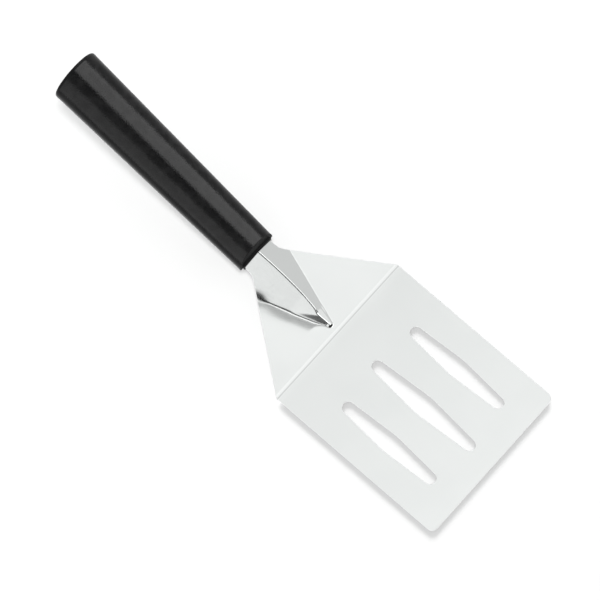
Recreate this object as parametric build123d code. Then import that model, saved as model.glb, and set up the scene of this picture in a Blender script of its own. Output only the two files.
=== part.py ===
from build123d import *
import math
import os

# Grill spatula: a slotted, ribbed stainless blade and a round resin handle moulded round its tang.
# Row frame: +X towards the tip, +Y to the user's left, +Z up, the head lying flat on Z = 0.
# While it is built, X = 0 is the bend between the head and the shoulder. At the end both parts are
# moved along X, so that the origin is under the middle of the whole spatula.

# --- Driving dimensions, in mm and degrees ----------------------------------------------------

SHEET = 1.2                  # thickness of the stainless sheet

HEAD_LENGTH = 90.3           # bend to tip
HEAD_WIDTH = 80.0
TIP_CORNER_RADIUS = 3.0
BEND_RADIUS = 5.0            # inside of the bend between head and shoulder

SHOULDER_RISE = 17.2         # shoulder above the table
SHOULDER_TAPER = 37.1        # shoulder's side edges away from the centre line
NECK_WIDTH = 16.6            # where the metal enters the handle
NECK_FILLET = 7.0            # hollow round between the shoulder's edge and the neck

RIB_SETBACK = 3.2            # bend line to the rib's point
RIB_RISE = 21.5              # ridge above the table
RIB_HALF_ANGLE = 18.8        # creases away from the centre line, seen from above

SLOT_SPACING = 22.4          # centre line to the outer slots
MIDDLE_SLOT_START = 20.0
MIDDLE_SLOT_END = 80.0
MIDDLE_SLOT_WIDTH = 9.9      # at mid-length
OUTER_SLOT_START = 22.5
OUTER_SLOT_END = 77.0
OUTER_SLOT_WIDTH = 9.0
SLOT_END_RADIUS = 2.85
SLOT_CORNER_RADIUS = 50.0    # softens the corner at the slot's mid-length

HANDLE_X = -46.85            # centre of the handle's front end
HANDLE_Z = 16.9
HANDLE_RISE = 20.8           # handle's axis above the table
HANDLE_LENGTH = 112.2        # along the axis
FRONT_RADIUS = 10.3
BUTT_RADIUS = 12.3
FRONT_CUT = 25.0             # upper half of the front end, away from square to the axis
BUTT_CUT = 17.0              # butt end, away from square to the axis
BUTT_EDGE_RADIUS = 1.2
LIP_WIDTH = 17.4             # raised lip where the metal leaves the resin
LIP_HEIGHT = 6.4
LIP_PROUD = 0.7
LIP_CORNER_RADIUS = 1.2

TANG_LENGTH = 85.0           # from the handle's front end to the tang's end
TANG_END_WIDTH = 11.0
TANG_END_RADIUS = 2.0
LOCK_HOLE_RADIUS = 3.0       # resin flows through these holes and locks the tang
LOCK_HOLES = 3
LOCK_HOLE_PITCH = 24.0

REACH = 60.0                 # how far construction bodies run past the parts
NEAR = 1.0                   # a corner within this of a place is the corner meant


# --- Shared geometry --------------------------------------------------------------------------

def tangent(degrees):
    return math.tan(math.radians(degrees))


HANDLE_AXIS = Vector(-1, 0, tangent(HANDLE_RISE)).normalized()
HANDLE_FRONT = Vector(HANDLE_X, 0, HANDLE_Z)


def shoulder_height(x):
    """Height of the shoulder's top surface."""
    return SHEET - x * tangent(SHOULDER_RISE)


def ridge_height(x):
    """Height of the rib's ridge, which starts on the shoulder at the rib's point."""
    behind_point = -RIB_SETBACK - x
    return shoulder_height(-RIB_SETBACK) + behind_point * tangent(RIB_RISE)


def facet_slope():
    """Sideways slope of the rib's facets, set by where their creases run on the shoulder."""
    climb = tangent(RIB_RISE) - tangent(SHOULDER_RISE)
    return climb / tangent(RIB_HALF_ANGLE)


# --- Blade ------------------------------------------------------------------------------------

def under_head_and_shoulder():
    """Everything under the top surface of the head and shoulder."""
    back = HANDLE_X
    front = HEAD_LENGTH + REACH
    surface = FilletPolyline(
        (front, SHEET),
        (0, SHEET),
        (back, shoulder_height(back)),
        radius=BEND_RADIUS,
    )
    below = Polyline(
        (back, shoulder_height(back)),
        (back, -REACH),
        (front, -REACH),
        (front, SHEET),
    )
    profile = make_face([surface, below])
    return extrude(Plane.XZ * profile, REACH, both=True)


def gable(x, top):
    """Section of the rib across the blade at x: a ridge with a sloping facet on each side."""
    eaves = top - REACH * facet_slope()
    corners = [(0, top), (REACH, eaves), (REACH, -REACH), (-REACH, -REACH), (-REACH, eaves)]
    return Plane.YZ.offset(x) * make_face(Polyline(*corners, close=True))


def under_rib():
    """Everything under the rib's facets, along the shoulder and neck and on through the tang."""
    nose = RIB_SETBACK
    run = nose - HANDLE_X
    along_rib = Vector(-1, 0, tangent(RIB_RISE)) * run
    along_tang = HANDLE_AXIS * (TANG_LENGTH + REACH)
    rib = extrude(gable(nose, ridge_height(nose)), amount=along_rib.length, dir=along_rib)
    tang = extrude(gable(HANDLE_X, ridge_height(HANDLE_X)), amount=along_tang.length, dir=along_tang)
    return rib + tang


def outline():
    """The blade seen from above, from the tip to the end of the tang."""
    head = HEAD_WIDTH / 2
    neck = NECK_WIDTH / 2
    neck_x = -(head - neck) / tangent(SHOULDER_TAPER)
    tang_x = (HANDLE_FRONT + HANDLE_AXIS * TANG_LENGTH).X
    side = [
        (HEAD_LENGTH, head),
        (0, head),
        (neck_x, neck),
        (HANDLE_X, neck),
        (tang_x, TANG_END_WIDTH / 2),
    ]
    other_side = [(x, -y) for x, y in reversed(side)]
    face = make_face(Polyline(*side, *other_side, close=True))
    face = fillet(face.vertices().group_by(Axis.X)[-1], TIP_CORNER_RADIUS)
    face = fillet(face.vertices().group_by(Axis.X)[0], TANG_END_RADIUS)
    inner = [v for v in face.vertices() if abs(v.X - neck_x) < NEAR]
    return fillet(inner, NECK_FILLET)


def slot(start, end, width, y):
    """Long diamond slot with round ends, lying along X."""
    half_length = (end - start) / 2
    half_width = width / 2
    round_centre = half_length - SLOT_END_RADIUS
    to_corner = math.hypot(round_centre, half_width)
    side_angle = math.atan2(half_width, round_centre) - math.asin(SLOT_END_RADIUS / to_corner)
    point = half_width / math.tan(side_angle)
    diamond = make_face(Polyline((point, 0), (0, half_width), (-point, 0), (0, -half_width), close=True))
    ends = diamond.vertices().group_by(SortBy.DISTANCE)
    face = fillet(ends[-1], SLOT_END_RADIUS)
    corners = [v for v in face.vertices() if abs(v.X) < NEAR]
    face = fillet(corners, SLOT_CORNER_RADIUS)
    return Pos((start + end) / 2, y) * face


def slots():
    """The three slots through the head, as one set of cutting bodies."""
    faces = [
        slot(OUTER_SLOT_START, OUTER_SLOT_END, OUTER_SLOT_WIDTH, -SLOT_SPACING),
        slot(MIDDLE_SLOT_START, MIDDLE_SLOT_END, MIDDLE_SLOT_WIDTH, 0),
        slot(OUTER_SLOT_START, OUTER_SLOT_END, OUTER_SLOT_WIDTH, SLOT_SPACING),
    ]
    return [extrude(face, REACH, both=True) for face in faces]


def lock_holes():
    """Round holes through the tang, square to the handle's axis."""
    square = Vector(HANDLE_AXIS.Z, 0, -HANDLE_AXIS.X)
    tang = Plane(origin=HANDLE_FRONT, x_dir=HANDLE_AXIS, z_dir=square)
    last = TANG_LENGTH - LOCK_HOLE_PITCH / 2
    places = [last - LOCK_HOLE_PITCH * i for i in range(LOCK_HOLES)]
    return [tang * Pos(along, 0, 0) * Cylinder(LOCK_HOLE_RADIUS, REACH) for along in places]


def make_blade():
    """One sheet of even height: the space under the top surface, less the same space a sheet lower."""
    below_top = under_head_and_shoulder() + under_rib()
    sheet = below_top - Pos(0, 0, -SHEET) * below_top
    blade = sheet & extrude(outline(), 2 * REACH, both=True)
    for opening in slots() + lock_holes():
        blade -= opening
    return blade


# --- Handle -----------------------------------------------------------------------------------

def end_plane(centre, cut):
    """Plane across the handle. Its top leans towards the butt by the cut, away from square."""
    lean = HANDLE_RISE - cut
    return Plane(origin=centre, z_dir=Vector(-1, 0, tangent(lean)))


def lip():
    """Low resin lip round the metal, reaching back inside the grip."""
    middle = Vector(HANDLE_X, 0, ridge_height(HANDLE_X) - LIP_HEIGHT / 2 + SHEET)
    across = Plane(origin=middle, x_dir=(0, 1, 0), z_dir=(1, 0, 0))
    section = across * RectangleRounded(LIP_WIDTH, LIP_HEIGHT, LIP_CORNER_RADIUS)
    return extrude(section, LIP_PROUD) + extrude(section, -LIP_HEIGHT)


def make_handle(blade):
    """Tapered round grip moulded round the tang, with steeply cut ends and a lip at the metal."""
    taper = (BUTT_RADIUS - FRONT_RADIUS) / HANDLE_LENGTH
    spare = FRONT_RADIUS
    before = HANDLE_FRONT - HANDLE_AXIS * spare
    grip = Plane(origin=before, z_dir=HANDLE_AXIS) * Cone(
        FRONT_RADIUS - taper * spare,
        BUTT_RADIUS + taper * spare,
        HANDLE_LENGTH + 2 * spare,
        align=(Align.CENTER, Align.CENTER, Align.MIN),
    )
    butt = HANDLE_FRONT + HANDLE_AXIS * HANDLE_LENGTH
    grip = split(grip, bisect_by=end_plane(HANDLE_FRONT, FRONT_CUT), keep=Keep.TOP)
    grip = split(grip, bisect_by=end_plane(HANDLE_FRONT, 0), keep=Keep.TOP)
    grip = split(grip, bisect_by=end_plane(butt, BUTT_CUT), keep=Keep.BOTTOM)
    butt_rim = grip.edges().filter_by(GeomType.ELLIPSE).sort_by(Axis.X)[0]
    grip = fillet(butt_rim, BUTT_EDGE_RADIUS)
    return grip + lip() - blade


# --- Parts ------------------------------------------------------------------------------------

blade = make_blade()
handle = make_handle(blade)
whole = Compound([blade, handle]).bounding_box()
to_middle = Pos(-(whole.min.X + whole.max.X) / 2, 0, 0)

os.makedirs("parts", exist_ok=True)
export_step(to_middle * blade, "parts/blade.step")
export_step(to_middle * handle, "parts/handle.step")
print("bend line at x =", round(to_middle.position.X, 4))
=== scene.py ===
import math

import bpy
import numpy as np
from mathutils import Matrix, Vector
from mathutils.geometry import delaunay_2d_cdt


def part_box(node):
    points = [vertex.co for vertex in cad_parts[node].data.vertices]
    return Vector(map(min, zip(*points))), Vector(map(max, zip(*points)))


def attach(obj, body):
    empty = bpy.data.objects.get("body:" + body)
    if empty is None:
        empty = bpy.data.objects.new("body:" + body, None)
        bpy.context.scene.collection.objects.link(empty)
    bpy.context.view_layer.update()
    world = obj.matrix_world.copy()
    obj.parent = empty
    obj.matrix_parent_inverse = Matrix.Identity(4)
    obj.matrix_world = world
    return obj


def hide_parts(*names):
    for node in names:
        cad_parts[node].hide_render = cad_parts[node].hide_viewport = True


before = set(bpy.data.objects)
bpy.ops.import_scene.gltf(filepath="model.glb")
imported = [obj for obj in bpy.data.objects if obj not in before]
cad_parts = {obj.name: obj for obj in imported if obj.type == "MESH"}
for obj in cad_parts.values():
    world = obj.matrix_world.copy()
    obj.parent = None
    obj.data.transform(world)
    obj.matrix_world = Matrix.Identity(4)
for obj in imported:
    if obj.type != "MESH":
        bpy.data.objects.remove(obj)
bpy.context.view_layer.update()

# Grill spatula: a ribbed, slotted stainless blade and a grained resin grip.
# Shape sizes are in millimetres and measured from the bend between head and shoulder, as in the
# CAD source. Objects are in metres in the row frame. The pressed rib and the ends of the slots
# follow the photograph and differ a little from the CAD's. Left and right are those of a user
# who holds the grip.

MM = 0.001

# --- Blade sizes, in mm and degrees -----------------------------------------------------------

SHEET = 1.2
EDGE = 0.12                  # rounding of the sheet's cut edges
HEAD_LENGTH = 90.3
HEAD_WIDTH = 80.0
TIP_CORNER_RADIUS = 3.0
BEND_CORNER_RADIUS = 0.8
BEND_SOFTNESS = 0.17
FLAT_FROM = 6.0              # from here to the tip the head is exactly flat
SHOULDER_RISE = 17.2
SHOULDER_TAPER = 37.1
NECK_WIDTH = 16.6
NECK_FILLET = 7.0
HANDLE_X = -46.85            # centre of the handle's front end
HANDLE_Z = 16.9
HANDLE_RISE = 20.8
TANG_CORNER_RADIUS = 1.0
TANG_LENGTH = 85.0
TANG_END_WIDTH = 11.0
TANG_END_RADIUS = 2.0
LOCK_HOLE_RADIUS = 3.0
LOCK_HOLES = 3
LOCK_HOLE_PITCH = 24.0
SLOT_END_RADIUS = 2.85
SLOT_CORNER_RADIUS = 50.0
SLOTS = [                    # start, end, width at mid-length, distance from the centre line
    (23.4, 76.2, 9.0, -22.4),
    (20.9, 79.2, 9.9, 0.0),
    (23.4, 76.2, 9.0, 22.4),
]

BEND_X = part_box("blade")[1].x / MM - HEAD_LENGTH

# --- Pressed rib, in mm and degrees. Slopes are rise over run ---------------------------------

NOSE_X = -4.5                # centre of the rib's rounded front end
NOSE_RADIUS = 1.4
NOSE_SLOPE = 0.62            # low wall round the front end
RIGHT_CREASE = 23.3          # turn of each crease away from the centre line
LEFT_CREASE = 16.5
RIDGE_DRIFT = 0.7            # the ridge drifts and bows to the left on its way back
RIDGE_BOW = 1.0
FACET_SLOPE = 0.225          # right facet, square to its crease
WEDGE_SLOPE = 0.31           # steeper strip beside the right crease, widening to the front
WEDGE_LENGTH = 16.0
WEDGE_LIFT = 0.0240
TONGUE_SLOPE = 0.13          # left facet at the front end, above the low wall
TONGUE_LIFT = 0.13
TONGUE_CLIMB = 0.05
RIDGE_REACH = 1.2            # the ridge drifts to this share of the rib's length, in the handle
DISH_DEPTH = 0.32            # soft dish in the shoulder beside the right crease
DISH_WIDTH = 2.6

# Each pair is two places, and a smooth step leads from nothing at the first to all at the second.
TONGUE_FADE = (9.5, 6.0)     # distance behind the nose
DISH_FADE = (24.0, 4.0)      # distance from the crease
DISH_START = (-1.5, 4.5)     # distance behind the nose
DISH_END = (34.0, 12.0)

FINE_ROUNDING = 0.28         # of the ridge and the left crease
CREASE_ROUNDING = 0.50       # of the right crease
CREASE_REACH = (2.4, 1.0)    # distance from the crease
CREASE_START = (0.0476, 0.1429)    # share of the rib's length
BROAD_ROUNDING = 2.4         # of the right side towards the neck
BROAD_REACH = (7.0, 3.0)
BROAD_START = (0.56, 0.74)

# The rounding is done on a grid, and it wraps round the grid's ends. So the rib fades out before
# the back and the sides.
FIELD_STEP = 0.1
FIELD_LOW = (-66.0, -50.0)
FIELD_HIGH = (12.0, 50.0)
FIELD_BACK = (-62.0, -54.0)
FIELD_SIDE = (50.0, 44.0)

# --- Mesh of the sheet, in mm -----------------------------------------------------------------

OUTLINE_STEP = 0.7
ARC_STEP = 0.2               # in radians
LOCK_HOLE_POINTS = 32
GRID_ZONES = [               # x from, x to, spacing along, spacing across, half width
    (-135.0, -47.2, 1.6, 0.7, 9.0),
    (-47.2, -13.0, 0.55, 0.50, 32.0),
    (-13.0, -1.6, 0.30, 0.33, 40.0),
    (-1.6, 1.7, 0.22, 0.9, 40.0),
    (1.7, 91.0, 2.4, 2.4, 40.0),
]
EDGE_GAP = 0.6               # share of the spacing kept free beside an edge
GAP_PARTS = 12               # that gap is worked out in parts, to save memory
RIM_RINGS = [                # degrees turned from the face, and whether at the underside
    (45, False),
    (90, False),
    (90, True),
    (45, True),
]
SLOPE_STEP = 0.01            # for slopes worked out as differences

# --- Materials --------------------------------------------------------------------------------

STEEL_DULL = (0.795, 0.808, 0.802)
STEEL_PALE = (0.812, 0.824, 0.818)
STEEL_EDGE = (0.88, 0.885, 0.882)
STEEL_ROUGHNESS = 0.072
STEEL_GRAINS = ((0.035, 0.00002), (0.03, 0.00006))    # strength, and depth in metres
BEND_SHADE_AND_HIGHLIGHT = [              # painted shade line and painted highlight line along the bend: from, to in mm from the bend, and the tone painted there
    (0.275, 0.875, (0.62, 0.63, 0.625)),
    (-0.975, -0.275, (0.870, 0.880, 0.875)),
]
BEND_PAINT_SOFTNESS = 0.125
RESIN_DARK = (0.0016, 0.0016, 0.0017)
RESIN_PALE = (0.0042, 0.0042, 0.0043)
RESIN_WORN = (0.022, 0.022, 0.022)
# Painted shade for the handle's front end.
RESIN_FRONT_SHADE = (0.0015, 0.0015, 0.0015)
RESIN_ROUGHNESS = 0.085
RESIN_GRAINS = ((0.7, 0.00010), (0.15, 0.00003))
FRONT_CUT = 25.0             # degrees off square of the front end's slanted cut
FRONT_SHADE = (0.0001, 0.0005)    # the painted shade on the front end fades over these depths, in metres
FLOOR_NEAR = (0.42, 0.42, 0.42)
FLOOR_FAR = (0.90, 0.90, 0.90)
FLOOR_FADE = (0.12, 2.5)     # squares of the distances from the origin, in metres
FLOOR_HALF = 8.0

# --- Camera -----------------------------------------------------------------------------------

AZIMUTH = math.radians(41.5)
ELEVATION = math.radians(75.9)
DISTANCE = 2.0
FOCAL_LENGTH = 274.2
SENSOR = 36.0
AIM = (-21.69, -0.034)       # mm from the bend
TO_CAMERA = Vector((
    math.cos(ELEVATION) * math.sin(AZIMUTH),
    -math.cos(ELEVATION) * math.cos(AZIMUTH),
    math.sin(ELEVATION),
))
RIGHT = Vector((math.cos(AZIMUTH), math.sin(AZIMUTH), 0))
UP = TO_CAMERA.cross(RIGHT)

# --- Studio. A direction's place in it is how far it leans across and along the grip ----------

ACROSS = (UP + RIGHT).normalized()
ALONG = (UP - RIGHT).normalized()
ROOM_TINT = (0.992, 1.0, 0.996, 1.0)
ROOM_SLOPE = 1.39 * RIGHT - 1.813 * UP    # the way the room gets brighter, and how fast
ROOM_LEVEL = 1.797
ROOM_LIMITS = (0.90, 1.08)
PANEL_SIDE = (0.25, 0.35)    # the panels fade out away from the camera's side of the room
PANELS = [                   # level, ends across, ends along, softness of each: later ones on top
    (1.05, (-1.40, 0.03), (-1.40, -0.150), (0.03, 0.04)),
    (0.73, (0.64, 1.40), (-1.40, -0.050), (0.03, 0.05)),
    (0.55, (0.93, 1.40), (-1.40, 0.100), (0.03, 0.05)),
    (1.05, (0.33, 0.50), (-0.262, -0.100), (0.02, 0.012)),
    (0.93, (0.50, 0.64), (-0.450, -0.315), (0.02, 0.012)),
    (1.50, (0.53, 0.60), (-0.310, -0.260), (0.015, 0.012)),
    (0.42, (0.20, 0.33), (-0.330, -0.262), (0.015, 0.012)),
    (1.50, (0.135, 0.20), (-0.360, -0.300), (0.012, 0.010)),
    (2.20, (0.32, 0.47), (-0.480, -0.345), (0.015, 0.010)),
    (0.02, (0.05, 0.30), (-0.800, -0.368), (0.015, 0.006)),
    (0.02, (-0.30, 0.60), (-0.800, -0.500), (0.015, 0.020)),
    (0.04, (-0.30, 0.05), (-0.800, -0.438), (0.015, 0.006)),
    (0.02, (0.03, 0.130), (-0.600, -0.200), (0.012, 0.030)),
]
FLOOR_GLOW = 0.80            # what glossy surfaces see below the horizon
FLOOR_GLOW_TOP = (-0.02, 0.02)
FLOOR_GLOW_FOOT = (-0.92, -0.86)

# --- Lamps, in metres and degrees -------------------------------------------------------------

WINDOW_LEVEL = 66.0
WINDOW_BEARING = 131.5
WINDOW_LIFT = 16.0
WINDOW_DISTANCE = 4.0
WINDOW_SIZE = (2.4, 1.1)
OVERHEAD_LEVEL = 240.0
OVERHEAD_TILT = 4.5
OVERHEAD_DISTANCE = 3.0
OVERHEAD_SIZE = (0.3, 0.3)
SHADE_START = 0.3            # in mm: the shade card lies inside the head's sheet
SHADE_INSET = 0.1
SHADE_HEIGHT = 1.12
STRIPS = [                   # name, from and to across the grip, radiance
    ("strip_bright", 0.10, 0.61, 7.4),
    ("strip_weak", -0.75, -0.29, 2.5),
]
STRIP_LENGTH = 0.5
STRIP_DISTANCE = 0.8
GRIP_MIDDLE = 0.055          # behind the handle's front end
GRIP_FACING = (0.133, -0.131)    # where the grip's middle line faces, to the picture's right and up
GRIP_TURN = (0.70, 0.71)         # change of that from the middle line to the grip's left edge


# --- Height of the sheet ----------------------------------------------------------------------

def tangent(degrees):
    """Rise over run of a slope given in degrees."""
    return math.tan(math.radians(degrees))


def smooth_step(ends, value):
    """0 at the first end and 1 at the second, smooth between them."""
    low, high = ends
    t = np.clip((value - low) / (high - low), 0.0, 1.0)
    return t * t * (3.0 - 2.0 * t)


def soft_positive(value, softness):
    """value where it is above zero and zero below, with a rounded corner."""
    return (value + np.sqrt(value * value + softness * softness)) / 2.0


def right_of_rib(along, inside):
    """Height over the rib's right facet, from the distance inside its crease."""
    lift = WEDGE_LIFT * np.clip(WEDGE_LENGTH - along, 0.0, None)
    return np.minimum(WEDGE_SLOPE * inside, FACET_SLOPE * inside + lift)


def left_of_rib(along, share, y):
    """Height over the rib's left facet, which falls from the ridge to the left crease."""
    right, left = math.radians(RIGHT_CREASE), math.radians(LEFT_CREASE)
    ridge = RIDGE_DRIFT * share + RIDGE_BOW * np.sin(math.pi * np.minimum(share, 1.0))
    crest = FACET_SLOPE * (NOSE_RADIUS + along * math.sin(right) + ridge * math.cos(right))
    crease = NOSE_RADIUS / math.cos(left) + along * math.tan(left)
    facet = crest * (crease - y) / (crease - ridge)
    inside = (crease - y) * math.cos(left)
    tongue = TONGUE_SLOPE * inside + TONGUE_LIFT + TONGUE_CLIMB * along
    front = np.minimum(tongue, NOSE_SLOPE * inside)
    return facet + (front - facet) * smooth_step(TONGUE_FADE, along)


def dish(along, inside):
    """Depth of the soft dish outside the right crease."""
    outside = np.clip(-inside, 0.0, None)
    reach = smooth_step(DISH_START, along) * smooth_step(DISH_END, along)
    return DISH_DEPTH * reach * (1.0 - np.exp(-outside / DISH_WIDTH)) * smooth_step(DISH_FADE, outside)


def crisp_rib(x, y):
    """Height that the rib adds to the shoulder before its folds are rounded, the distance
    inside its right crease, and the share of its length."""
    along = NOSE_X - x
    share = np.clip(along / (NOSE_X - HANDLE_X), 0.0, RIDGE_REACH)
    right = math.radians(RIGHT_CREASE)
    inside = NOSE_RADIUS + along * math.sin(right) + y * math.cos(right)
    left = left_of_rib(np.clip(along, 0.0, None), share, y)
    behind = np.minimum(right_of_rib(along, inside), left)
    nose = np.minimum(
        NOSE_SLOPE * (NOSE_RADIUS - np.hypot(along, y)), TONGUE_SLOPE * NOSE_RADIUS + TONGUE_LIFT
    )
    rise = np.clip(np.where(along > 0, behind, nose), 0.0, None)
    return rise - dish(along, inside), inside, share


def rounded(field, radius):
    """The field with its folds rounded to about that radius."""
    waves = [np.fft.fftfreq(n, FIELD_STEP) for n in field.shape]
    squares = waves[0][:, None] ** 2 + waves[1][None, :] ** 2
    keep = np.exp(-2 * (math.pi * radius) ** 2 * squares)
    return np.real(np.fft.ifft2(np.fft.fft2(field) * keep))


def rib_field():
    """The rounded rib on a fine grid, with its slopes along both axes."""
    x = np.arange(FIELD_LOW[0], FIELD_HIGH[0], FIELD_STEP)[:, None]
    y = np.arange(FIELD_LOW[1], FIELD_HIGH[1], FIELD_STEP)[None, :]
    crisp, inside, share = crisp_rib(x, y)
    crisp = crisp * smooth_step(FIELD_BACK, x) * smooth_step(FIELD_SIDE, np.abs(y))
    fine, middle, broad = [
        rounded(crisp, radius) for radius in (FINE_ROUNDING, CREASE_ROUNDING, BROAD_ROUNDING)
    ]
    at_crease = smooth_step(CREASE_REACH, np.abs(inside)) * smooth_step(CREASE_START, share)
    at_neck = smooth_step(BROAD_REACH, inside) * smooth_step(BROAD_START, share)
    field = fine + (middle - fine) * at_crease
    field = field + (broad - field) * at_neck
    return (field, *np.gradient(field, FIELD_STEP))


RIB, RIB_SLOPE_X, RIB_SLOPE_Y = rib_field()


def at_grid(field, x, y):
    """Value of a grid field at points, between its four nearest grid values."""
    column = np.clip((x - FIELD_LOW[0]) / FIELD_STEP, 0, field.shape[0] - 1.001)
    row = np.clip((y - FIELD_LOW[1]) / FIELD_STEP, 0, field.shape[1] - 1.001)
    i, j = column.astype(int), row.astype(int)
    u, v = column - i, row - j
    low = field[i, j] * (1 - v) + field[i, j + 1] * v
    high = field[i + 1, j] * (1 - v) + field[i + 1, j + 1] * v
    return low * (1 - u) + high * u


def shoulder_height(x):
    """Height of the head, shoulder and tang without the rib."""
    run = np.clip(-x, None, -HANDLE_X)
    rise = soft_positive(run * tangent(SHOULDER_RISE), BEND_SOFTNESS)
    flat = soft_positive(-FLAT_FROM * tangent(SHOULDER_RISE), BEND_SOFTNESS)
    behind = np.clip(HANDLE_X - x, 0.0, None) * tangent(HANDLE_RISE)
    return SHEET + np.clip(rise - flat, 0.0, None) + behind


def sheet_height(x, y):
    """Height of the sheet's top surface. Inside the handle the rib keeps its last section."""
    return shoulder_height(x) + at_grid(RIB, np.maximum(x, HANDLE_X), y)


def sheet_normal(x, y):
    """Unit normals of the sheet's top surface."""
    held = np.maximum(x, HANDLE_X)
    rise = shoulder_height(x + SLOPE_STEP) - shoulder_height(x - SLOPE_STEP)
    slope_x = rise / (2 * SLOPE_STEP) + np.where(x > HANDLE_X, at_grid(RIB_SLOPE_X, held, y), 0.0)
    slope_y = at_grid(RIB_SLOPE_Y, held, y)
    normal = np.stack([-slope_x, -slope_y, np.ones_like(slope_x)], axis=1)
    return normal / np.linalg.norm(normal, axis=1)[:, None]


# --- Flat outlines ----------------------------------------------------------------------------

def rounded_loop(corners, radii):
    """Closed loop of points through the corners, each rounded."""
    corners = [Vector(c) for c in corners]
    path = []
    for i, (corner, radius) in enumerate(zip(corners, radii)):
        back = (corners[i - 1] - corner).normalized()
        onward = (corners[(i + 1) % len(corners)] - corner).normalized()
        half = back.angle(onward) / 2
        centre = corner + (back + onward).normalized() * (radius / math.sin(half))
        start = corner + back * (radius / math.tan(half)) - centre
        sweep = math.pi - 2 * half
        if back.cross(onward) > 0:
            sweep = -sweep
        first = math.atan2(start.y, start.x)
        count = max(3, math.ceil(abs(sweep) * radius / OUTLINE_STEP), math.ceil(abs(sweep) / ARC_STEP))
        turns = [first + sweep * k / count for k in range(count + 1)]
        path += [centre + radius * Vector((math.cos(t), math.sin(t))) for t in turns]
    points = []
    for i, point in enumerate(path):
        onward = path[(i + 1) % len(path)] - point
        count = max(1, round(onward.length / OUTLINE_STEP))
        points += [point + onward * (k / count) for k in range(count)]
    return np.array([tuple(p) for p in points])


def outline_loop():
    """Outline of the whole sheet: head, shoulder, neck and tang."""
    head = HEAD_WIDTH / 2
    neck = NECK_WIDTH / 2
    neck_x = -(head - neck) / tangent(SHOULDER_TAPER)
    tang_x = HANDLE_X - TANG_LENGTH * math.cos(math.radians(HANDLE_RISE))
    side = [
        (HEAD_LENGTH, head, TIP_CORNER_RADIUS),
        (0, head, BEND_CORNER_RADIUS),
        (neck_x, neck, NECK_FILLET),
        (HANDLE_X, neck, TANG_CORNER_RADIUS),
        (tang_x, TANG_END_WIDTH / 2, TANG_END_RADIUS),
    ]
    corners = [(x, y) for x, y, r in side] + [(x, -y) for x, y, r in reversed(side)]
    radii = [r for x, y, r in side] + [r for x, y, r in reversed(side)]
    return rounded_loop(corners, radii)


def slot_loop(start, end, width, y):
    """Long diamond slot with round ends."""
    half_width = width / 2
    to_centre = (end - start) / 2 - SLOT_END_RADIUS
    side = math.atan2(half_width, to_centre)
    side -= math.asin(SLOT_END_RADIUS / math.hypot(to_centre, half_width))
    point = half_width / math.tan(side)
    middle = (start + end) / 2
    corners = [(middle + point, y), (middle, y + half_width), (middle - point, y), (middle, y - half_width)]
    return rounded_loop(corners, [SLOT_END_RADIUS, SLOT_CORNER_RADIUS] * 2)


def lock_hole_loop(along_tang):
    """Round hole through the tang, seen from above."""
    level = math.cos(math.radians(HANDLE_RISE))
    turns = np.linspace(0, 2 * math.pi, LOCK_HOLE_POINTS, endpoint=False)
    x = HANDLE_X - along_tang * level + LOCK_HOLE_RADIUS * level * np.cos(turns)
    return np.stack([x, LOCK_HOLE_RADIUS * np.sin(turns)], axis=1)


def outward(loop):
    """Unit vector away from each point of a counter-clockwise loop."""
    run = np.roll(loop, -1, axis=0) - np.roll(loop, 1, axis=0)
    across = np.stack([run[:, 1], -run[:, 0]], axis=1)
    return across / np.linalg.norm(across, axis=1)[:, None]


def off_the_sheet(loops):
    """For each loop, the outline first and then its holes, the unit vectors that leave the sheet."""
    return [outward(loops[0])] + [-outward(hole) for hole in loops[1:]]


def within(points, loop):
    """Which points lie inside the loop."""
    x, y = points[:, :1], points[:, 1:]
    ax, ay = loop[:, 0], loop[:, 1]
    bx, by = np.roll(ax, -1), np.roll(ay, -1)
    crosses = (ay > y) != (by > y)
    rise = np.where(by == ay, 1.0, by - ay)
    hit = crosses & (x < ax + (bx - ax) * (y - ay) / rise)
    return hit.sum(axis=1) % 2 == 1


def on_the_sheet(points, loops):
    """Which points lie inside the outline and outside its holes."""
    inside = within(points, loops[0])
    for hole in loops[1:]:
        inside &= ~within(points, hole)
    return inside


# --- Blade ------------------------------------------------------------------------------------

def grid_points(loops):
    """Inner points of the sheet's mesh, close together where the surface turns."""
    points = []
    for low, high, along, across, half in GRID_ZONES:
        columns = np.arange(low, high, along)
        rows = np.arange(-half, half + across, across)
        x, y = np.meshgrid(columns, rows, indexing="ij")
        y = y + (np.arange(len(columns)) % 2)[:, None] * across / 2
        spacing = np.full(x.size, min(along, across, OUTLINE_STEP))
        points.append(np.stack([x.ravel(), y.ravel(), spacing], axis=1))
    points = np.concatenate(points)
    points = points[on_the_sheet(points[:, :2], loops)]
    border = np.concatenate(loops)
    gap = np.concatenate([
        np.hypot(part[:, :1] - border[:, 0], part[:, 1:2] - border[:, 1]).min(axis=1)
        for part in np.array_split(points, GAP_PARTS)
    ])
    return points[gap > EDGE_GAP * points[:, 2], :2]


def triangulate(loops, inner):
    """Points and triangles of the sheet between its loops, and where each given point went."""
    edges, start = [], 0
    for loop in loops:
        count = len(loop)
        edges += [(start + i, start + (i + 1) % count) for i in range(count)]
        start += count
    given = [Vector(p) for p in np.concatenate([*loops, inner])]
    points, _, faces, origin, _, _ = delaunay_2d_cdt(given, edges, [], 0, 1e-5)
    points = np.array([tuple(p) for p in points])
    faces = np.array(faces)
    faces = faces[on_the_sheet(points[faces].mean(axis=1), loops)]
    return points, faces, {old: new for new, olds in enumerate(origin) for old in olds}


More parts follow.
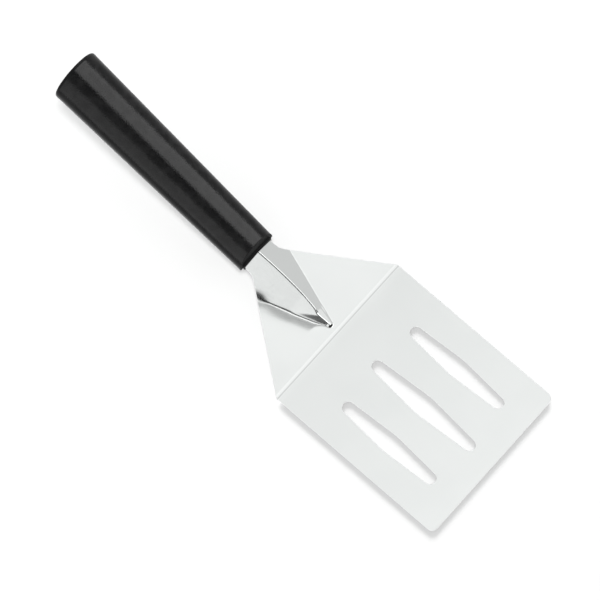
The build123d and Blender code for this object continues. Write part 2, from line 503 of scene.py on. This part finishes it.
def rim_rings(loop, away):
    """Rings of points and normals round a cut edge, from its top side to its underside."""
    for turn, below in RIM_RINGS:
        side, rise = math.sin(math.radians(turn)), math.cos(math.radians(turn))
        at = loop + away * EDGE * (side - 1)
        drop = EDGE * (1 - rise)
        z = sheet_height(at[:, 0], at[:, 1]) - (SHEET - drop if below else drop)
        facing = sheet_normal(at[:, 0], at[:, 1]) * (-rise if below else rise)
        facing[:, :2] += away * side
        yield np.column_stack([at, z]), facing / np.linalg.norm(facing, axis=1)[:, None]


def blade_mesh():
    """The pressed sheet, one closed skin with rounded cut edges."""
    last = TANG_LENGTH - LOCK_HOLE_PITCH / 2
    lock_holes = [lock_hole_loop(last - LOCK_HOLE_PITCH * i) for i in range(LOCK_HOLES)]
    loops = [outline_loop()] + [slot_loop(*slot) for slot in SLOTS] + lock_holes
    aways = off_the_sheet(loops)
    insets = [loop - away * EDGE for loop, away in zip(loops, aways)]
    plan, faces, made_from = triangulate(insets, grid_points(insets))

    top = np.column_stack([plan, sheet_height(plan[:, 0], plan[:, 1])])
    up = sheet_normal(plan[:, 0], plan[:, 1])
    points, normals = [top, top - [0, 0, SHEET]], [up, -up]
    polygons = [tuple(f) for f in faces] + [tuple(f[::-1] + len(top)) for f in faces]
    total, start = 2 * len(top), 0
    for loop, away in zip(loops, aways):
        count = len(loop)
        rings = [[made_from[start + i] for i in range(count)]]
        for ring, facing in rim_rings(loop, away):
            points.append(ring)
            normals.append(facing)
            rings.append(list(range(total, total + count)))
            total += count
        rings.append([i + len(top) for i in rings[0]])
        for upper, lower in zip(rings, rings[1:]):
            for i in range(count):
                j = (i + 1) % count
                wall = (upper[i], lower[i], lower[j], upper[j])
                polygons.append(wall if loop is loops[0] else wall[::-1])
        start += count
    return np.concatenate(points), np.concatenate(normals), polygons


def build_mesh(name, points, polygons, normals=None):
    """Mesh object from points in mm measured from the bend, with smooth shading."""
    mesh = bpy.data.meshes.new(name)
    place = (np.asarray(points) + [BEND_X, 0, 0]) * MM
    mesh.from_pydata([tuple(p) for p in place], [], [tuple(int(i) for i in p) for p in polygons])
    mesh.update()
    mesh.polygons.foreach_set("use_smooth", [True] * len(mesh.polygons))
    if normals is not None:
        mesh.normals_split_custom_set_from_vertices([tuple(n) for n in normals])
    obj = bpy.data.objects.new(name, mesh)
    bpy.context.scene.collection.objects.link(obj)
    return obj


# --- Nodes ------------------------------------------------------------------------------------

def new_material(name):
    """Material with its node tree and its shader."""
    material = bpy.data.materials.new(name)
    material.use_nodes = True
    tree = material.node_tree
    return material, tree, tree.nodes["Principled BSDF"]


def add_node(tree, kind, inputs=None, **settings):
    """Node with its settings and inputs. An input is a value or another node's socket."""
    node = tree.nodes.new(kind)
    for key, value in settings.items():
        setattr(node, key, value)
    for key, value in (inputs or {}).items():
        if isinstance(value, bpy.types.NodeSocket):
            tree.links.new(value, node.inputs[key])
        else:
            node.inputs[key].default_value = value
    return node


def object_place(tree):
    """Place on the object, in metres."""
    return add_node(tree, "ShaderNodeTexCoord").outputs["Object"]


def noise(tree, place, scale, detail, roughness):
    """Soft random value, about a half on average."""
    return add_node(
        tree, "ShaderNodeTexNoise",
        {"Vector": place, "Scale": scale, "Detail": detail, "Roughness": roughness},
    ).outputs["Fac"]


def stretch(tree, place, scale):
    """The place with each axis scaled."""
    return add_node(tree, "ShaderNodeMapping", {"Vector": place, "Scale": scale}).outputs["Vector"]


def spread(tree, value, low, high, to_low=0.0, to_high=1.0):
    """value mapped from one range to another, smoothly and clamped."""
    return add_node(
        tree, "ShaderNodeMapRange",
        {"Value": value, "From Min": low, "From Max": high, "To Min": to_low, "To Max": to_high},
        interpolation_type="SMOOTHSTEP",
    ).outputs["Result"]


def maths(tree, operation, first, second=0.0, third=0.0):
    """Result of one arithmetic step."""
    return add_node(
        tree, "ShaderNodeMath", {0: first, 1: second, 2: third}, operation=operation,
    ).outputs["Value"]


def dot_with(tree, vector, direction):
    """Length of the vector along a direction."""
    return add_node(
        tree, "ShaderNodeVectorMath", {0: vector, 1: tuple(direction)}, operation="DOT_PRODUCT",
    ).outputs["Value"]


def band(tree, value, low, high, softness):
    """1 between low and high and 0 outside, with soft ends."""
    rise = spread(tree, value, low - softness, low + softness)
    fall = spread(tree, value, high - softness, high + softness, 1.0, 0.0)
    return maths(tree, "MULTIPLY", rise, fall)


def mix_value(tree, factor, first, second):
    """First value where the factor is 0, second where it is 1."""
    return add_node(
        tree, "ShaderNodeMix", {"Factor": factor, 2: first, 3: second}, data_type="FLOAT",
    ).outputs[0]


def mix_colour(tree, factor, first, second):
    """First colour where the factor is 0, second where it is 1."""
    node = add_node(tree, "ShaderNodeMix", {"Factor": factor}, data_type="RGBA")
    for socket, colour in ((node.inputs[6], first), (node.inputs[7], second)):
        if isinstance(colour, bpy.types.NodeSocket):
            tree.links.new(colour, socket)
        else:
            socket.default_value = (*colour, 1.0)
    return node.outputs[2]


def raised_edge(tree, low, high):
    """1 along sharp outer edges and 0 elsewhere."""
    sharpness = add_node(tree, "ShaderNodeNewGeometry").outputs["Pointiness"]
    return spread(tree, sharpness, low, high)


def varied(tree, base, changes):
    """The base value, changed by each other value times its amount."""
    for value, amount in changes:
        base = maths(tree, "MULTIPLY_ADD", value, amount, base)
    return base


def add_relief(tree, shader, heights, grains):
    """Fine relief on the shader, from heights and their grains' strengths and depths."""
    normal = {}
    for height, (strength, depth) in zip(heights, grains):
        node = add_node(
            tree, "ShaderNodeBump",
            {"Strength": strength, "Distance": depth, "Height": height, **normal},
        )
        normal = {"Normal": node.outputs["Normal"]}
    tree.links.new(normal["Normal"], shader.inputs["Normal"])


# --- Materials --------------------------------------------------------------------------------

def steel():
    """Satin stainless sheet: fine rolling grain along the blade, faint clouding, brighter edges, and a
    painted shade line and a painted highlight line along the bend.
    """
    material, tree, shader = new_material("blade_steel")
    place = object_place(tree)
    fine_lines = stretch(tree, place, (60.0, 2600.0, 2600.0))
    grain = noise(tree, fine_lines, scale=1.0, detail=2.0, roughness=0.6)
    long_lines = stretch(tree, place, (9.0, 700.0, 700.0))
    long_grain = noise(tree, long_lines, scale=1.0, detail=3.0, roughness=0.55)
    cloud = noise(tree, place, scale=34.0, detail=3.0, roughness=0.5)
    cross_lines = stretch(tree, place, (900.0, 120.0, 900.0))
    scuffs = noise(tree, cross_lines, scale=1.0, detail=2.0, roughness=0.7)
    edge = raised_edge(tree, 0.52, 0.60)

    colour = mix_colour(tree, spread(tree, cloud, 0.35, 0.65), STEEL_DULL, STEEL_PALE)
    colour = mix_colour(tree, maths(tree, "MULTIPLY", edge, 0.6), colour, STEEL_EDGE)
    from_bend = dot_with(tree, place, (1 / MM, 0, 0))
    # Painted shade and painted highlight: a dark line on the head's side of the bend and a pale line on the
    # shoulder's side.
    for low, high, tone in BEND_SHADE_AND_HIGHLIGHT:
        painted_line = band(tree, from_bend, BEND_X + low, BEND_X + high, BEND_PAINT_SOFTNESS)
        colour = mix_colour(tree, painted_line, colour, tone)
    tree.links.new(colour, shader.inputs["Base Color"])

    changes = [(long_grain, 0.035), (cloud, 0.02), (spread(tree, scuffs, 0.62, 0.74), 0.02), (edge, 0.06)]
    tree.links.new(varied(tree, STEEL_ROUGHNESS, changes), shader.inputs["Roughness"])
    add_relief(tree, shader, (grain, long_grain), STEEL_GRAINS)
    shader.inputs["Metallic"].default_value = 1.0
    return material


def handle_direction():
    """Unit vector along the handle, away from the blade."""
    return Vector((-1, 0, tangent(HANDLE_RISE))).normalized()


def handle_point(along):
    """Point on the handle's axis, in metres, so far behind the centre of its front end."""
    return Vector((BEND_X + HANDLE_X, 0, HANDLE_Z)) * MM + handle_direction() * along


def depth_behind_cut(tree, place, cut):
    """Depth in the handle behind a cut through its front end, at degrees off square."""
    square = Vector((-1, 0, tangent(HANDLE_RISE - cut))).normalized()
    return maths(tree, "SUBTRACT", dot_with(tree, place, square), square.dot(handle_point(0.0)))


def resin():
    """Black moulded resin with a fine spark-eroded grain, a little worn on its rims, with painted shade on
    its front end.
    """
    material, tree, shader = new_material("handle_resin")
    place = object_place(tree)
    grain = noise(tree, place, scale=1500.0, detail=2.0, roughness=0.6)
    fine = noise(tree, place, scale=4200.0, detail=2.0, roughness=0.5)
    mottle = noise(tree, place, scale=260.0, detail=3.0, roughness=0.6)
    cloud = noise(tree, place, scale=22.0, detail=2.0, roughness=0.5)
    edge = raised_edge(tree, 0.53, 0.62)
    depths = [depth_behind_cut(tree, place, cut) for cut in (FRONT_CUT, 0.0)]
    front = spread(tree, maths(tree, "MINIMUM", *depths), *FRONT_SHADE, 1.0, 0.0)

    colour = mix_colour(tree, spread(tree, mottle, 0.35, 0.7), RESIN_DARK, RESIN_PALE)
    colour = mix_colour(tree, maths(tree, "MULTIPLY", edge, 0.5), colour, RESIN_WORN)
    # Painted shade: the front end is given a darker colour and a rougher finish.
    colour = mix_colour(tree, front, colour, RESIN_FRONT_SHADE)
    tree.links.new(colour, shader.inputs["Base Color"])

    changes = [(grain, 0.10), (cloud, 0.05), (edge, -0.08), (front, 0.4)]
    tree.links.new(varied(tree, RESIN_ROUGHNESS, changes), shader.inputs["Roughness"])
    add_relief(tree, shader, (grain, fine), RESIN_GRAINS)
    shader.inputs["Specular IOR Level"].default_value = 0.09
    return material


# --- Camera, light and floor ------------------------------------------------------------------

def make_camera():
    """Long-lens camera at the photograph's angle."""
    data = bpy.data.cameras.new("camera")
    data.lens = FOCAL_LENGTH
    data.sensor_width = SENSOR
    data.clip_start = 0.05
    data.clip_end = 50.0
    camera = bpy.data.objects.new("camera", data)
    bpy.context.scene.collection.objects.link(camera)
    aim = Vector((BEND_X + AIM[0], AIM[1], 0)) * MM
    camera.location = aim + TO_CAMERA * DISTANCE
    camera.rotation_mode = "QUATERNION"
    camera.rotation_quaternion = (-TO_CAMERA).to_track_quat("-Z", "Y")
    bpy.context.scene.camera = camera


def make_studio():
    """Even white room with soft panels, the bright and dark ones that the metal mirrors."""
    world = bpy.data.worlds.new("studio")
    world.use_nodes = True
    bpy.context.scene.world = world
    tree = world.node_tree
    direction = add_node(tree, "ShaderNodeTexCoord").outputs["Generated"]
    across = dot_with(tree, direction, ACROSS)
    along = dot_with(tree, direction, ALONG)
    front = spread(tree, dot_with(tree, direction, TO_CAMERA), *PANEL_SIDE)
    level = maths(tree, "ADD", dot_with(tree, direction, ROOM_SLOPE), ROOM_LEVEL)
    level = maths(tree, "MAXIMUM", level, ROOM_LIMITS[0])
    level = maths(tree, "MINIMUM", level, ROOM_LIMITS[1])
    for amount, ends_across, ends_along, softness in PANELS:
        share = maths(
            tree, "MULTIPLY",
            band(tree, across, *ends_across, softness[0]), band(tree, along, *ends_along, softness[1]),
        )
        level = mix_value(tree, maths(tree, "MULTIPLY", share, front), level, amount)
    height = dot_with(tree, direction, (0, 0, 1))
    low = maths(
        tree, "MULTIPLY",
        spread(tree, height, *FLOOR_GLOW_TOP, 1.0, 0.0), spread(tree, height, *FLOOR_GLOW_FOOT),
    )
    level = mix_value(tree, low, level, FLOOR_GLOW)
    seen = add_node(tree, "ShaderNodeLightPath").outputs["Is Camera Ray"]
    background = tree.nodes["Background"]
    tree.links.new(mix_value(tree, seen, level, 1.0), background.inputs["Strength"])
    background.inputs["Color"].default_value = ROOM_TINT


def make_lamp(name, centre, direction, distance, size, level, upright=None):
    """Rectangular light that far along a direction from a point. Its second side can be given a
    direction of its own, square to the first."""
    data = bpy.data.lights.new(name, "AREA")
    data.shape = "RECTANGLE"
    data.size, data.size_y = size
    data.energy = level * math.pi * size[0] * size[1]
    light = bpy.data.objects.new(name, data)
    bpy.context.scene.collection.objects.link(light)
    away = direction.normalized()
    light.location = centre + away * distance
    light.rotation_mode = "QUATERNION"
    light.rotation_quaternion = away.to_track_quat("Z", "Y")
    if upright is not None:
        turned = Matrix((upright.cross(away), upright, away)).transposed()
        light.rotation_quaternion = turned.to_quaternion()
    light.visible_camera = False
    return light


def only_for(light, receivers=None, blockers=None):
    """The light falls only on the receivers, and only the blockers shade it."""
    for key, objects in (("receiver_collection", receivers), ("blocker_collection", blockers)):
        if objects is not None:
            group = bpy.data.collections.new(light.name + "_" + key)
            for obj in objects:
                group.objects.link(obj)
            setattr(light.light_linking, key, group)


def mirrored(offset):
    """Where the camera sees the grip reflect, that share from its middle line to its left edge."""
    x, y = [facing + turn * offset for facing, turn in zip(GRIP_FACING, GRIP_TURN)]
    z = math.sqrt(1 - x * x - y * y)
    return RIGHT * (2 * x * z) + UP * (2 * y * z) + TO_CAMERA * (2 * z * z - 1)


def light_grip(handle):
    """Two strip lights for the grip alone: a bright one, and a weak one on its other side."""
    for name, low, high, level in STRIPS:
        first, last = mirrored(low), mirrored(high)
        away = (first + last).normalized()
        size = (2 * STRIP_DISTANCE * math.tan(first.angle(last) / 2), STRIP_LENGTH)
        upright = first.cross(last).normalized()
        lamp = make_lamp(name, handle_point(GRIP_MIDDLE), away, STRIP_DISTANCE, size, level, upright)
        only_for(lamp, receivers=[handle])


def make_shade():
    """Flat card inside the head's sheet that shades the low window. It never shows."""
    loops = [outline_loop()] + [slot_loop(*slot) for slot in SLOTS]
    loops = [loop - away * SHADE_INSET for loop, away in zip(loops, off_the_sheet(loops))]
    loops[0] = loops[0][loops[0][:, 0] > SHADE_START]
    plan, faces, _ = triangulate(loops, np.empty((0, 2)))
    shade = build_mesh("shade", np.column_stack([plan, np.full(len(plan), SHADE_HEIGHT)]), faces)
    for kind in ("camera", "diffuse", "glossy", "transmission", "volume_scatter"):
        setattr(shade, "visible_" + kind, False)
    return shade


def make_key_lights(shade):
    """Low window for the shade along the thin head, and an overhead light for the raised parts."""
    centre = Vector((0, 0, 0))
    turn, lift, tilt = [math.radians(a) for a in (WINDOW_BEARING, WINDOW_LIFT, OVERHEAD_TILT)]
    low = Vector((math.cos(lift) * math.cos(turn), math.cos(lift) * math.sin(turn), math.sin(lift)))
    window = make_lamp("window", centre, low, WINDOW_DISTANCE, WINDOW_SIZE, WINDOW_LEVEL)
    window.visible_glossy = False
    only_for(window, blockers=[shade])
    high = TO_CAMERA * math.cos(tilt) + UP * math.sin(tilt)
    overhead = make_lamp("overhead", centre, high, OVERHEAD_DISTANCE, OVERHEAD_SIZE, OVERHEAD_LEVEL)
    overhead.visible_glossy = False


def make_floor():
    """Pale floor, darker near the object, where the lamps are strongest."""
    material, tree, shader = new_material("floor")
    place = object_place(tree)
    squares = [maths(tree, "POWER", dot_with(tree, place, axis), 2.0) for axis in ((1, 0, 0), (0, 1, 0))]
    far_off = spread(tree, maths(tree, "ADD", *squares), *FLOOR_FADE)
    tree.links.new(mix_colour(tree, far_off, FLOOR_NEAR, FLOOR_FAR), shader.inputs["Base Color"])
    shader.inputs["Roughness"].default_value = 0.9
    shader.inputs["Specular IOR Level"].default_value = 0.1
    mesh = bpy.data.meshes.new("floor")
    corners = [(x * FLOOR_HALF, y * FLOOR_HALF, 0) for x, y in ((-1, -1), (1, -1), (1, 1), (-1, 1))]
    mesh.from_pydata(corners, [], [(0, 1, 2, 3)])
    mesh.materials.append(material)
    floor = bpy.data.objects.new("floor", mesh)
    bpy.context.scene.collection.objects.link(floor)
    floor.visible_glossy = False


# --- Putting it together ----------------------------------------------------------------------

make_camera()
make_studio()
make_floor()

points, normals, polygons = blade_mesh()
blade = build_mesh("blade_pressed", points, polygons, normals)
blade.data.materials.append(steel())
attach(blade, "root")
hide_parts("blade")

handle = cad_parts["handle"]
handle.data.materials.clear()
handle.data.materials.append(resin())

make_key_lights(make_shade())
light_grip(handle)

bpy.context.scene.view_settings.view_transform = "Standard"
